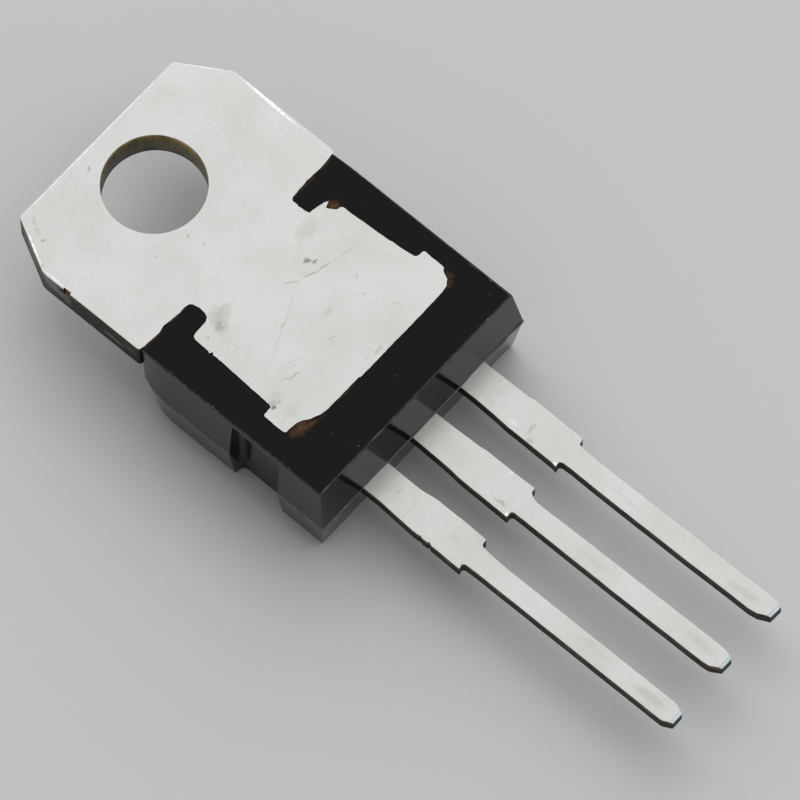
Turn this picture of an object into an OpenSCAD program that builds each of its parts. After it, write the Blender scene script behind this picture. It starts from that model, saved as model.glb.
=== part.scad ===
/* [Tab] */
// Width of the metal tab
tab_w = 10.15; // [9.8:0.05:10.4]
// Length of bare tab from its top edge to the moulding
tab_len = 6.57; // [6.2:0.01:6.8]
// Thickness of the tab sheet
tab_gauge = 1.27; // [1.15:0.01:1.4]
// Diameter of the mounting hole
hole_d = 3.78; // [3.5:0.02:3.9]
// Distance from the top edge of the tab to the hole axis
hole_drop = 2.7; // [2.6:0.01:2.95]
// Width of each cut top corner
corner_w = 1.07; // [0.5:0.01:1.4]
// Height of each cut top corner
corner_len = 2; // [0.8:0.05:2.4]

/* [Spreader inside the moulding] */
// Width of the neck that joins the tab to the chip pad
neck_w = 5.2; // [4.4:0.05:5.8]
// Length of the neck
neck_len = 0.98; // [0.6:0.02:1.4]
// Width of the chip pad next to the neck
pad_top_w = 7.05; // [6.4:0.05:7.4]
// Width of the chip pad next to the ears
pad_low_w = 7.5; // [6.8:0.05:7.8]
// Moulding left between the end of the pad and the lead end of the back face
pad_margin = 1.93; // [1.7:0.01:2.2]
// Moulding left between each locating ear and the floor of its side notch
ear_wall = 0.42; // [0.3:0.01:0.6]
// Length of the ears
ear_len = 1.02; // [0.7:0.02:1.2]
// Length of the bevel below the ears
ear_bevel_len = 0.5; // [0.3:0.02:0.7]
// Width of the bevel below each ear
ear_bevel_w = 0.85; // [0.4:0.05:1.2]
// Overhang of the coined lip that locks the pad into the moulding
lip_w = 0.3; // [0.15:0.05:0.45]
// Depth of the coined lip below the back face
lip_depth = 0.62; // [0.4:0.02:0.9]
// Depth of the lock groove across the front of the neck
groove_depth = 0.3; // [0.1:0.05:0.45]

/* [Moulding] */
// Width of the moulding at its back face
body_w = 10; // [9.7:0.05:10.2]
// Length of the moulding at its back face
body_len = 8.26; // [8:0.02:8.7]
// Thickness of the moulding
body_t = 4.3; // [4.1:0.05:4.7]
// Depth of the parting line below the back face
parting_depth = 2.2; // [2.05:0.05:2.4]
// Outward draft of each side from the faces to the parting line
side_draft = 0.25; // [0.1:0.01:0.35]
// Outward draft of the lead end from the faces to the parting line
end_draft = 0.29; // [0.1:0.01:0.4]
// Inward draft of the wall under the tab
tab_wall_draft = 0.22; // [0.1:0.01:0.35]
// Length of the rounded cheeks beside the tab
cheek_len = 1.35; // [0.8:0.05:1.8]
// Depth of the rounded cheeks beside the tab
cheek_in = 0.33; // [0.15:0.01:0.5]
// Bevel round the front face
front_bevel = 0.1; // [0.05:0.01:0.2]
// Length of each side notch
notch_len = 2.2; // [1.6:0.05:2.6]
// Depth of each side notch below the back face width
notch_in = 0.4; // [0.2:0.02:0.44]
// Thickness of the web that closes each notch at the back face
notch_web = 0.22; // [0.15:0.01:0.4]
// Radius inside each notch
notch_r = 0.25; // [0.1:0.05:0.4]
// Diameter of the ejector mark on the front face
ejector_d = 1.8; // [1:0.1:2.6]
// Depth of the ejector mark
ejector_depth = 0.06; // [0.03:0.01:0.15]

/* [Leads] */
// Distance between the lead centres
pitch = 2.54; // [2.4:0.01:2.7]
// Thickness of the lead sheet
lead_gauge = 0.55; // [0.45:0.01:0.62]
// Width of a lead where it leaves the moulding
root_w = 1.25; // [1.14:0.01:1.32]
// Width of a lead at its shoulder
shoulder_w = 1.42; // [1.34:0.01:1.6]
// Width of the thin part of a lead
lead_w = 0.85; // [0.61:0.01:0.94]
// Length of a lead outside the moulding
lead_len = 13.8; // [13:0.05:14]
// Distance from the moulding to the shoulder step
shoulder_len = 4.45; // [3.8:0.05:4.8]
// Distance from the moulding to the start of the shoulder flare
flare_from = 1.6; // [1.2:0.05:2]
// Length of the shoulder flare
flare_len = 0.7; // [0.3:0.05:1]
// Slant of the step below each shoulder
step_slant = 0.06; // [0.02:0.01:0.15]
// Width of the blunt end of a tip
tip_w = 0.5; // [0.3:0.01:0.58]
// Length of the bevels at a tip
tip_bevel_len = 0.28; // [0.15:0.01:0.5]
// Rise of the tips towards the back face
tip_rise = 0.12; // [0:0.02:0.3]

/* [Lead ends inside the moulding] */
// Width of the bond post on each outer lead
post_w = 2.25; // [1.9:0.05:2.5]
// Length of the bond post
post_len = 1.35; // [1:0.05:1.5]
// Distance from the lead end of the moulding to the bond post
post_from = 0.45; // [0.3:0.05:0.6]
// Outward shift of each bond post from its lead
post_shift = 0.2; // [0:0.05:0.35]
// Width of the strip that carries the centre lead down from the pad
strip_w = 2.1; // [1.6:0.05:2.3]
// Angle of that strip's slope
strip_angle = 55; // [50:1:62]

/* [Chip] */
// Width of the silicon die
die_w = 2.5; // [1.8:0.1:3]
// Length of the silicon die
die_len = 2.3; // [1.8:0.1:2.6]
// Thickness of the silicon die
die_t = 0.28; // [0.2:0.02:0.4]
// Distance from the neck to the die
die_from = 0.75; // [0.5:0.05:0.9]
// Thickness of the solder under the die
solder_t = 0.06; // [0.04:0.01:0.1]
// Overhang of the solder round the die
solder_rim = 0.12; // [0.05:0.01:0.2]

/* [Bond wires] */
// Diameter of a bond wire
wire_d = 0.25; // [0.15:0.01:0.3]
// Height of the loop above the straight line between its ends
wire_loop = 0.8; // [0.6:0.05:0.95]
// Length of the flattened foot at each end
foot_len = 0.5; // [0.4:0.05:0.6]
// Thickness of the flattened foot
foot_t = 0.14; // [0.1:0.01:0.16]
// Distance from the die's edge to the wire feet on it
foot_inset = 0.4; // [0.35:0.05:0.5]

/* [Hidden] */
$fn = 64;
through = 1;

metal = [0.80, 0.81, 0.82];
resin = [0.09, 0.09, 0.095];

// The origin is the hole axis in the back face: the tab points to +Y and the leads to -Y.
tab_top = hole_drop;
mould_top = tab_top - tab_len;
mould_end = mould_top - body_len;
parting_end = mould_end - end_draft;
neck_end = mould_top - neck_len;
pad_end = mould_end + pad_margin;
ear_end = pad_end + ear_bevel_len;
ear_top = ear_end + ear_len;
notch_floor = body_w / 2 - notch_in;
ear_w = 2 * (notch_floor - ear_wall);

// The leads leave the moulding with their back face on the parting line.
lead_back = -parting_depth;
lead_front = lead_back - lead_gauge;
step_y = parting_end - shoulder_len;
tip_y = parting_end - lead_len;
flare_start = parting_end - flare_from;
flare_end = flare_start - flare_len;
post_end = parting_end + post_from;
post_top = post_end + post_len;

// The strip keeps its gauge through both bends of its slope.
strip_back = -tab_gauge + lead_gauge;
bend_shift = lead_gauge * tan(strip_angle / 2);
bend_top = pad_end - bend_shift;
bend_low = bend_top - (strip_back - lead_back) / tan(strip_angle);

pad_front = -tab_gauge;
die_back = pad_front - solder_t;
die_front = die_back - die_t;
die_top = neck_end - die_from;
die_mid = die_top - die_len / 2;
die_end = die_top - die_len;

// The cheeks fade to this share of their depth at the back face.
back_cheek = 0.1;
cheek_steps = 5;
cheek_r = (cheek_len ^ 2 + cheek_in ^ 2) / (2 * cheek_in);
cheek_angle = asin(cheek_len / cheek_r);

// Mirrors a half outline, listed from +X round to the centre line, to both sides.
function both_sides(half) = concat(
    half,
    [for (i = [len(half) - 1:-1:0]) [-half[i][0], half[i][1]]]
);

tab_half = [
    [neck_w / 2, mould_top],
    [tab_w / 2, mould_top],
    [tab_w / 2, tab_top - corner_len],
    [tab_w / 2 - corner_w, tab_top]
];

// The chip pad, grown sideways by the given amount.
function pad_half(grow) = [
    [ear_w / 2 - ear_bevel_w, pad_end],
    [ear_w / 2, ear_end],
    [ear_w / 2, ear_top],
    [pad_low_w / 2 + grow, ear_top],
    [pad_top_w / 2 + grow, neck_end]
];

// The outline of an outside lead, centred on its own axis.
lead_half = [
    [tip_w / 2, tip_y],
    [lead_w / 2, tip_y + tip_bevel_len],
    [lead_w / 2, step_y - step_slant],
    [shoulder_w / 2, step_y],
    [shoulder_w / 2, flare_end],
    [root_w / 2, flare_start],
    [root_w / 2, post_top]
];

// Cuts a flat outline to a bent strip, given the strip's profile along Y and Z.
module bent_strip(outline, profile) {
    intersection() {
        translate([0, 0, profile_floor(profile) - through])
            linear_extrude(profile_roof(profile) - profile_floor(profile) + 2 * through)
                polygon(outline);
        rotate([90, 0, 90])
            linear_extrude(body_w, center = true)
                polygon(profile);
    }
}

function profile_floor(profile) = min([for (p = profile) p[1]]);
function profile_roof(profile) = max([for (p = profile) p[1]]);

// The profile of the outside length of every lead, straight and then rising to the tip.
run_back = [[step_y, lead_back], [tip_y, lead_back + tip_rise]];
run_front = [[tip_y, lead_front + tip_rise], [step_y, lead_front]];

module spreader_plate() {
    difference() {
        union() {
            translate([0, 0, pad_front])
                linear_extrude(tab_gauge)
                    union() {
                        polygon(both_sides(tab_half));
                        translate([-neck_w / 2, neck_end])
                            square([neck_w, neck_len]);
                        polygon(both_sides(pad_half(0)));
                    }
            translate([0, 0, pad_front])
                linear_extrude(tab_gauge - lip_depth)
                    polygon(both_sides(pad_half(lip_w)));
        }
        translate([0, 0, pad_front - through])
            cylinder(h = tab_gauge + 2 * through, d = hole_d);
        neck_groove();
    }
}

// A V groove across the front of the neck, which keys the moulding to the metal.
module neck_groove() {
    translate([0, mould_top - neck_len / 2, pad_front])
        rotate([90, 0, 90])
            linear_extrude(neck_w + through, center = true)
                polygon([
                    [-groove_depth, -through],
                    [-groove_depth, 0],
                    [0, groove_depth],
                    [groove_depth, 0],
                    [groove_depth, -through]
                ]);
}

module centre_lead() {
    strip_half = [[strip_w / 2, bend_low], [strip_w / 2, ear_end]];
    profile = concat(
        [[ear_end, strip_back], [bend_top, strip_back], [bend_low, lead_back]],
        run_back,
        run_front,
        [[bend_low + bend_shift, lead_front], [bend_top + bend_shift, pad_front], [ear_end, pad_front]]
    );
    outline = both_sides(concat(
        [for (p = lead_half) [p[0], min(p[1], bend_low)]],
        strip_half
    ));
    bent_strip(outline, profile);
}

module spreader() {
    color(metal)
        union() {
            spreader_plate();
            centre_lead();
        }
}

// An outer lead on the given side, with the bond post that its wire lands on.
module outer_lead(side) {
    profile = concat([[post_top, lead_back]], run_back, run_front, [[post_top, lead_front]]);
    color(metal)
        translate([side * pitch, 0, 0])
            union() {
                bent_strip(both_sides(lead_half), profile);
                translate([side * post_shift - post_w / 2, post_end, lead_front])
                    cube([post_w, post_len, lead_gauge]);
            }
}

module solder() {
    color([0.62, 0.63, 0.65])
        translate([-die_w / 2 - solder_rim, die_end - solder_rim, die_back])
            cube([die_w + 2 * solder_rim, die_len + 2 * solder_rim, solder_t]);
}

module die() {
    color([0.30, 0.33, 0.40])
        translate([-die_w / 2, die_end, die_front])
            cube([die_w, die_len, die_t]);
}

// The flattened end of a wire, pressed on a face at the height of its point.
module wire_foot(at, heading) {
    translate([at[0], at[1], at[2] - foot_t])
        rotate([0, 0, heading])
            translate([-foot_len / 2, -wire_d / 2, 0])
                cube([foot_len, wire_d, foot_t]);
}

// A wire that loops towards the front between two points on faces that look to -Z.
module bond_wire(from, to) {
    start = from - [0, 0, foot_t / 2];
    finish = to - [0, 0, foot_t / 2];
    span = finish - start;
    chord = norm(span);
    heading = atan2(span[1], span[0]);
    pitch_angle = -asin(span[2] / chord);
    arc_r = (chord ^ 2 / 4 + wire_loop ^ 2) / (2 * wire_loop);
    half_angle = asin(chord / 2 / arc_r);
    color([0.86, 0.87, 0.88]) {
        wire_foot(from, heading);
        wire_foot(to, heading);
        translate((start + finish) / 2)
            rotate([0, pitch_angle, heading])
                rotate([-90, 0, 0])
                    translate([0, wire_loop - arc_r, 0])
                        rotate([0, 0, 90 - half_angle])
                            rotate_extrude(angle = 2 * half_angle)
                                translate([arc_r, 0])
                                    circle(d = foot_t);
    }
}

function post_bond(side) = [side * (pitch + post_shift), post_top - post_len / 2, lead_front];
function die_bond(side) = [side * (die_w / 2 - foot_inset), die_end + foot_inset, die_front];

module input_wire() {
    bond_wire(die_bond(1), post_bond(1));
}

module output_wire() {
    bond_wire(die_bond(-1), post_bond(-1));
}

module ground_wire() {
    bond_wire([0, die_mid, die_front], [0, ear_top - ear_len / 2, pad_front]);
}

// One level of the moulding's outline, anticlockwise, with its cheeks as arcs beside the tab.
function mould_ring(half_w, top, end, cheek, z) = let (
    right = [for (i = [0:cheek_steps]) let (a = cheek_angle * i / cheek_steps) [
        half_w - cheek * cheek_r * (1 - cos(a)),
        top + cheek_r * sin(a) - cheek_len,
        z
    ]],
    left = [for (i = [cheek_steps:-1:0]) [-right[i][0], right[i][1], z]]
) concat([[-half_w, end, z], [half_w, end, z]], right, left);

// A solid through rings of equal count, listed from the lowest to the highest.
module loft(rings) {
    n = len(rings[0]);
    last = len(rings) - 1;
    sides = [for (k = [0:last - 1], i = [0:n - 1], half = [0, 1])
        let (a = k * n + i, b = k * n + (i + 1) % n)
        half == 0 ? [a, a + n, b + n] : [a, b + n, b]
    ];
    polyhedron(
        points = [for (ring = rings, p = ring) p],
        faces = concat(
            [[for (i = [0:n - 1]) i]],
            sides,
            [[for (i = [n - 1:-1:0]) last * n + i]]
        )
    );
}

module mould_outside() {
    face_half = body_w / 2;
    wide_half = face_half + side_draft;
    front_top = mould_top - tab_wall_draft;
    loft([
        mould_ring(face_half - front_bevel, front_top - front_bevel, mould_end + front_bevel, 1, -body_t),
        mould_ring(face_half, front_top, mould_end, 1, -body_t + front_bevel),
        mould_ring(wide_half, mould_top, parting_end, 1, -parting_depth),
        mould_ring(face_half, mould_top, mould_end, back_cheek, 0)
    ]);
}

// The pocket beside the ear on one side, open at the side and at the front face.
module side_notch(side) {
    notch_end = ear_end + ear_len / 2 - notch_len / 2;
    mirror([side < 0 ? 1 : 0, 0, 0])
        translate([notch_floor, notch_end, -body_t - through])
            linear_extrude(body_t - notch_web + through)
                union() {
                    translate([notch_r, 0])
                        square([notch_in + side_draft + through, notch_len]);
                    translate([0, notch_r])
                        square([notch_r, notch_len - 2 * notch_r]);
                    translate([notch_r, notch_r])
                        circle(notch_r);
                    translate([notch_r, notch_len - notch_r])
                        circle(notch_r);
                }
}

module ejector_mark() {
    translate([0, mould_top - body_len / 2, -body_t - through])
        cylinder(h = ejector_depth + through, d = ejector_d);
}

module body() {
    color(resin)
        difference() {
            mould_outside();
            side_notch(1);
            side_notch(-1);
            ejector_mark();
            spreader();
            outer_lead(1);
            outer_lead(-1);
            solder();
            die();
            input_wire();
            output_wire();
            ground_wire();
        }
}

spreader();
outer_lead(1);  // input_lead
outer_lead(-1);  // output_lead
solder();
die();
input_wire();
output_wire();
ground_wire();
body();
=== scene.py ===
"""Voltage regulator in a three-lead tab package: its metal, its moulding and a plain stage.

The packed frame gives the places. Shapes are built in millimetres, and each finished piece is
brought to metres with its object at the origin.
"""

import math
from functools import partial
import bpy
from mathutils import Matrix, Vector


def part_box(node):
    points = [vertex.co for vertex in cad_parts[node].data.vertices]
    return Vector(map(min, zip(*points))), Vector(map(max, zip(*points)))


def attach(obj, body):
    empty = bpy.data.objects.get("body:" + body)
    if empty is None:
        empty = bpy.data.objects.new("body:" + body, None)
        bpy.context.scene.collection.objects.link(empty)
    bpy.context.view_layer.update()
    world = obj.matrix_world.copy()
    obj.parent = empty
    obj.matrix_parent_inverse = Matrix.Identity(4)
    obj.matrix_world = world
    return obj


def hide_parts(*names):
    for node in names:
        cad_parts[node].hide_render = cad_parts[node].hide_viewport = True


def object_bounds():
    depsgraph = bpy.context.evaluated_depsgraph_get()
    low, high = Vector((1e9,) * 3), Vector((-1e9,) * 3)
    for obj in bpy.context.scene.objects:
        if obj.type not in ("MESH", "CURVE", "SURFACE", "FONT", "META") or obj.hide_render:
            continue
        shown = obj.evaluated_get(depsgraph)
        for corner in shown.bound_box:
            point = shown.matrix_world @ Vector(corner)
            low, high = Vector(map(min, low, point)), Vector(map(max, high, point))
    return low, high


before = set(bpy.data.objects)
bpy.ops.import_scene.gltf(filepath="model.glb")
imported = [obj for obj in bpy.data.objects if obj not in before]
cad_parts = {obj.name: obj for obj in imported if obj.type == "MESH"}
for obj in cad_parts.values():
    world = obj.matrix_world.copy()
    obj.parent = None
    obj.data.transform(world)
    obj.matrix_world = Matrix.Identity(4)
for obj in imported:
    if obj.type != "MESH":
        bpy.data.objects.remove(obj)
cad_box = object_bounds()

from types import SimpleNamespace

import bmesh
import bpy
from mathutils import Matrix, Vector, noise

bl_info = {
    "name": "Voltage regulator looks",
    "version": (1, 0, 0),
    "blender": (4, 5, 0),
    "location": "View3D > Sidebar > Regulator",
    "description": "Builds the lead frame, the moulding and the stage of a tab-package regulator",
    "category": "Add Mesh",
}

MM = 0.001
UP = Vector((0, 0, 1))

OUTER_LEADS = ("input_lead", "output_lead")
WIRES = ("input_wire", "output_wire", "ground_wire")
TIN_FACE = "matte_tin_plating_on_copper"
PUNCHED_EDGE = "punched_copper_edge_with_thin_tin"
PUNCHED_HOLE = "punched_copper_hole"

# Sizes from here on are in millimetres. Two places nearer than this count as one.
CLOSE = 0.001
# Shapes are snapped to this many decimal places before a cut.
GRID_PLACES = 4
# How far a cutter reaches beyond the piece that it cuts.
BEYOND = 1
# The metal's edge meets the resin below the first Y, where it is ragged. Below the second there
# are only leads.
RAGGED_BELOW, LEADS_BELOW = -3.8, -11
# How a ragged edge wanders: its seed, its fine and its broad turns to a millimetre, and the share
# of the broad ones.
WANDER_SEED = 7
FINE_WANDER, BROAD_WANDER, BROAD_SHARE = 5, 1.7, 0.6
# How fine the edges of the pad and of the leads are cut, and the leads' share of the wander.
PAD_CUTS, LEAD_CUTS, LEAD_RAGGED = 0.12, 0.45, 0.35
# Half the height of the band that carries the flash of the parting line, how fine it is cut, and
# where along the lead end its burr starts.
SEAM, FLASH_CUTS, BURR_START = 0.04, 0.12, 3.3
# The steps in the cheeks' curve, and the share of their depth that is left at the back face.
CHEEK_STEPS, CHEEK_AT_BACK = 8, 0.1
# The rounding inside the side notches.
NOTCH_ROUND = 0.22
# How far the mounting hole's wall and rim reach beyond its radius.
HOLE_RIM = 0.01
# The middle of the lock groove across the neck, and half the length of its cutter.
GROOVE_PLACE, GROOVE_REACH = -4.36, 5
# From a lead's root in to the foot of its bond post, and from its tip back to where it is rounded.
POST_FOOT, TIP_REACH = 0.43, 0.06
# The strip that carries the centre lead: the pad's end, how far the strip runs on into the pad,
# its slope, and how far it keeps its width past the slope.
PAD_END, STRIP_IN_PAD = -10.2, 0.5
STRIP_SLOPE, STRIP_PAST_SLOPE = math.radians(55), 0.08
# The lip and the strip stay this far behind the pad's front face, so that no faces lie together.
LIP_INSET, STRIP_INSET = 0.005, 0.01

# The tab's clean punched edge, anticlockwise from its right lower corner. The origin is the hole.
TAB_EDGE = [
    (5.07, -3.76), (5.075, 0.68), (5.05, 0.82), (3.95, 2.62), (3.86, 2.66), (-3.94, 2.7),
    (-4.02, 2.65), (-5.02, 0.72), (-5.05, 0.5), (-5.04, -3.7), (-4.99, -3.8),
]
LEFT_EDGE = TAB_EDGE[-2][0]
# The chip out of the tab's left edge: its ends along the edge at the back face and at its foot,
# its width at the back face, and its depth.
CHIP_AT_BACK, CHIP_AT_FOOT = (-0.6, -0.28), (-0.52, -0.36)
CHIP_WIDTH, CHIP_DEPTH = 0.075, 0.32
# The edge that the moulding runs up to, from the left end of the tab round the pad to the right.
# It keeps the nicks, the worn corner and the bevels where the resin has crept over the metal.
PAD_EDGE = [
    (-4.8, -3.84), (-4.4, -3.88), (-4.05, -3.9), (-3.8, -3.84), (-3.4, -3.88), (-3.05, -3.93),
    (-2.78, -3.91), (-2.62, -3.95), (-2.53, -4.05), (-2.48, -4.3), (-2.5, -4.6), (-2.56, -4.76),
    (-2.68, -4.82), (-3.3, -4.84), (-3.41, -4.89), (-3.46, -5.02), (-3.48, -5.62), (-3.53, -5.71),
    (-3.41, -5.78), (-3.51, -5.86), (-3.48, -6.0), (-3.56, -7.5), (-3.61, -8.58), (-3.67, -8.67),
    (-4.0, -8.67), (-4.06, -8.73), (-4.08, -9.1), (-4.06, -9.6), (-4.01, -9.68), (-3.5, -9.73),
    (-3.28, -9.84), (-3.08, -9.99), (-2.9, -10.05), (-2.7, -10.15), (-2.4, -10.19), (-0.84, -10.2),
    (-0.76, -10.25), (3.5, -10.26), (3.76, -10.21), (3.97, -10.06), (4.06, -9.86), (4.12, -9.75),
    (4.2, -9.7), (4.25, -9.6), (4.25, -8.79), (4.2, -8.72), (3.95, -8.7), (3.87, -8.62),
    (3.79, -7.9), (3.73, -6.95), (3.65, -5.55), (3.6, -5.46), (3.44, -5.4), (3.31, -5.2),
    (3.25, -5.09), (3.32, -5.06), (3.5, -4.98), (3.34, -4.9), (3.06, -4.84), (2.9, -4.79),
    (2.74, -4.79), (2.69, -4.66), (2.66, -4.36), (2.7, -4.2), (2.69, -4.06), (2.78, -3.96),
    (3.2, -3.93), (3.6, -3.9), (4.2, -3.94), (4.98, -3.9),
]
# The lip coined out of the pad's front, half of it, from the lead end up to the neck.
LIP_HALF = [(3.33, -10.18), (4.16, -9.7), (4.16, -8.68), (4.05, -8.66), (3.82, -4.86)]
# The outside edge of each lead from its root to its tip, and back up its other side. The
# shoulders end in sharp burred corners, and each lead wanders and leans in its own way.
LEAD_EDGES = {
    "output_lead": [
        (-3.15, -12.4), (-3.14, -13.1), (-3.19, -14.0), (-3.23, -14.75), (-3.22, -15.02),
        (-3.19, -15.08), (-3.23, -15.2), (-3.23, -15.42), (-3.17, -15.5), (-3.23, -15.6),
        (-3.25, -16.75), (-3.25, -16.92), (-3.06, -16.88), (-2.99, -16.96), (-2.97, -17.4),
        (-2.97, -25.8), (-2.94, -25.92), (-2.78, -26.22), (-2.3, -26.22), (-2.17, -25.94),
        (-2.15, -25.75), (-2.16, -18.2), (-2.12, -17.3), (-2.09, -17.0), (-2.02, -16.92),
        (-1.83, -16.9), (-1.81, -16.8), (-1.79, -16.0), (-1.79, -14.6), (-1.85, -14.2),
        (-1.88, -13.95), (-1.88, -13.1), (-1.86, -12.4),
    ],
    "centre": [
        (-0.6, -12.4), (-0.62, -13.3), (-0.64, -14.1), (-0.69, -14.65), (-0.7, -15.6),
        (-0.71, -16.72), (-0.72, -16.87), (-0.5, -16.86), (-0.43, -16.94), (-0.42, -17.4),
        (-0.43, -22.0), (-0.4, -25.5), (-0.36, -25.78), (-0.14, -26.16), (0.36, -26.17),
        (0.45, -25.86), (0.48, -25.5), (0.46, -23.5), (0.41, -19.0), (0.38, -17.6), (0.39, -17.28),
        (0.47, -17.04), (0.56, -16.92), (0.74, -16.89), (0.74, -16.78), (0.72, -16.0),
        (0.72, -14.7), (0.68, -14.45), (0.65, -13.3), (0.63, -12.4),
    ],
    "input_lead": [
        (1.92, -12.4), (1.93, -13.1), (1.9, -14.0), (1.86, -14.7), (1.86, -15.5), (1.85, -16.7),
        (1.82, -16.9), (2.02, -16.88), (2.09, -16.98), (2.11, -17.4), (2.09, -18.4), (2.1, -22.0),
        (2.14, -25.4), (2.19, -25.74), (2.4, -26.18), (2.95, -26.2), (3.0, -26.05), (3.01, -25.6),
        (2.98, -22.0), (2.94, -18.4), (2.97, -17.3), (3.0, -16.98), (3.23, -16.93), (3.25, -16.84),
        (3.25, -14.72), (3.21, -14.5), (3.2, -13.9), (3.19, -12.4),
    ],
}

# Brown glows where the resin runs out so thin over the metal that light comes through. Each patch
# is its place, half length, half width, turn in degrees, and strength.
GLOWS = [
    (-3.55, -9.98, 0.55, 0.28, -20, 1.0), (-3.85, -9.9, 0.3, 0.25, 0, 0.6),
    (-3.2, -10.12, 0.4, 0.14, -15, 0.8), (-3.38, -9.87, 0.42, 0.16, -32, 0.9),
    (-2.75, -10.25, 0.35, 0.08, -8, 0.35), (-1.5, -10.25, 0.8, 0.07, 0, 0.28),
    (4.13, -10.05, 0.18, 0.32, -20, 0.75), (3.92, -10.22, 0.28, 0.16, 20, 1.0),
    (3.5, -5.22, 0.26, 0.32, 20, 1.0), (-3.68, -10.12, 0.2, 0.18, 0, 0.8),
    (3.62, -5.5, 0.1, 0.25, 0, 0.3), (-4.4, -3.9, 0.75, 0.09, 0, 0.55),
    (-3.1, -3.93, 0.6, 0.08, 0, 0.5), (3.4, -3.99, 0.8, 0.08, 0, 0.5),
    (4.5, -3.98, 0.7, 0.07, 0, 0.45),
]
# Dull marks on the metal, in the same form.
SMUDGES = [
    (-2.54, -5.29, 0.32, 0.24, 60, 0.55), (-2.1, -4.96, 0.38, 0.16, 5, 0.32),
    (-1.93, -5.1, 0.4, 0.28, 40, 0.24), (-2.38, -5.12, 0.72, 0.42, 55, 0.34),
    (-2.74, -6.1, 0.5, 0.08, 90, 0.12), (-3.13, -5.27, 0.07, 0.06, 0, 0.55),
    (-3.58, -8.74, 0.14, 0.12, -20, 0.9), (-3.46, -8.64, 0.36, 0.18, -38, 0.4),
    (-3.3, -8.5, 0.4, 0.3, -30, 0.16), (-3.25, -9.3, 0.45, 0.28, 10, 0.1),
    (2.15, -5.15, 0.7, 0.4, -5, 0.2), (2.6, -5.0, 0.25, 0.2, 0, 0.12),
    (1.3, -5.93, 0.18, 0.13, -20, 1.0), (1.47, -6.14, 0.2, 0.08, 15, 0.85),
    (1.4, -6.03, 0.1, 0.06, 80, 0.7), (0.3, -7.76, 0.4, 0.25, 0, 0.22),
    (-1.03, -6.9, 0.1, 0.06, 10, 0.5), (-0.68, -2.18, 0.12, 0.07, 25, 0.42),
    (-0.6, -2.8, 0.09, 0.06, 0, 0.38), (-2.05, -1.9, 0.1, 0.06, -20, 0.38),
    (-1.08, 2.09, 0.13, 0.06, 15, 0.5), (-4.14, 1.5, 0.09, 0.07, -40, 0.6),
    (-3.8, 2.2, 0.28, 0.1, 60, 0.26), (-4.0, 1.85, 0.25, 0.1, 60, 0.2),
    (0.4, -10.02, 0.35, 0.1, 5, 0.3), (-0.1, -9.95, 0.25, 0.07, 0, 0.25),
    (2.4, -2.05, 0.3, 0.04, -10, 0.16), (-2.4, -13.43, 0.2, 0.06, -10, 0.4),
    (-2.49, -16.1, 0.4, 0.14, 90, 0.14), (-0.44, -16.3, 0.42, 0.07, 90, 0.42),
    (2.38, -15.32, 0.3, 0.14, 6, 0.34), (1.98, -15.58, 0.14, 0.1, 20, 0.32),
    (2.08, -15.3, 0.14, 0.1, 0, 0.16), (2.2, -13.68, 0.16, 0.05, 8, 0.2),
    (2.5, -13.4, 0.3, 0.05, 8, 0.16), (-2.6, -14.2, 0.4, 0.05, -4, 0.16),
    (-2.48, -23.1, 0.12, 0.07, 0, 0.2), (0.3, -21.0, 0.1, 0.06, 0, 0.2),
]
# Scratches, and soft darker streaks along the leads near their tips.
SCRATCHES = [
    (-2.56, -24.95, 1.0, 0.25, 92, 0.19), (0.08, -25.05, 1.0, 0.26, 87, 0.14),
    (2.5, -24.9, 0.95, 0.2, 94, 0.16), (2.5, -19.6, 1.6, 0.1, 91, 0.08),
    (-2.45, -22.3, 0.9, 0.18, 90, 0.08), (0.0, -20.3, 1.3, 0.14, 90, 0.08),
    (0.35, -6.08, 0.42, 0.04, -38, 0.35), (1.0, -6.38, 0.45, 0.05, -22, 0.42),
    (1.55, -6.52, 0.35, 0.05, -16, 0.45), (2.4, -6.73, 0.55, 0.03, -10, 0.28),
    (0.9, -6.2, 0.45, 0.03, -28, 0.25), (-1.12, -6.97, 2.7, 0.028, 23.1, 0.2),
    (-2.25, -8.48, 0.32, 0.04, -5, 0.4), (-2.5, -8.36, 0.25, 0.035, -30, 0.35),
    (-2.05, -8.2, 0.3, 0.03, -30, 0.2), (-2.35, -7.98, 0.35, 0.025, 15, 0.18),
    (-1.85, -8.1, 0.3, 0.025, -30, 0.18), (-1.55, -8.5, 0.4, 0.025, -65, 0.16),
    (2.0, -7.62, 0.22, 0.05, 35, 0.22), (1.65, -8.25, 0.1, 0.06, -30, 0.3),
    (-0.3, -8.55, 0.2, 0.035, -25, 0.35), (2.1, -9.3, 0.25, 0.035, -35, 0.32),
    (0.9, -9.2, 0.5, 0.014, -60, 0.12), (1.6, -9.95, 0.7, 0.014, 3, 0.14),
    (3.3, -8.4, 0.5, 0.012, 70, 0.1), (-3.2, 1.2, 0.5, 0.012, -35, 0.1),
    (2.5, 0.6, 0.9, 0.012, -40, 0.08), (3.4, -1.8, 0.7, 0.012, -38, 0.1),
    (-3.1, -2.4, 0.6, 0.012, -30, 0.08), (0.5, -3.3, 0.8, 0.012, -12, 0.1),
    (-1.8, -5.9, 0.5, 0.014, -50, 0.1),
]
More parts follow.
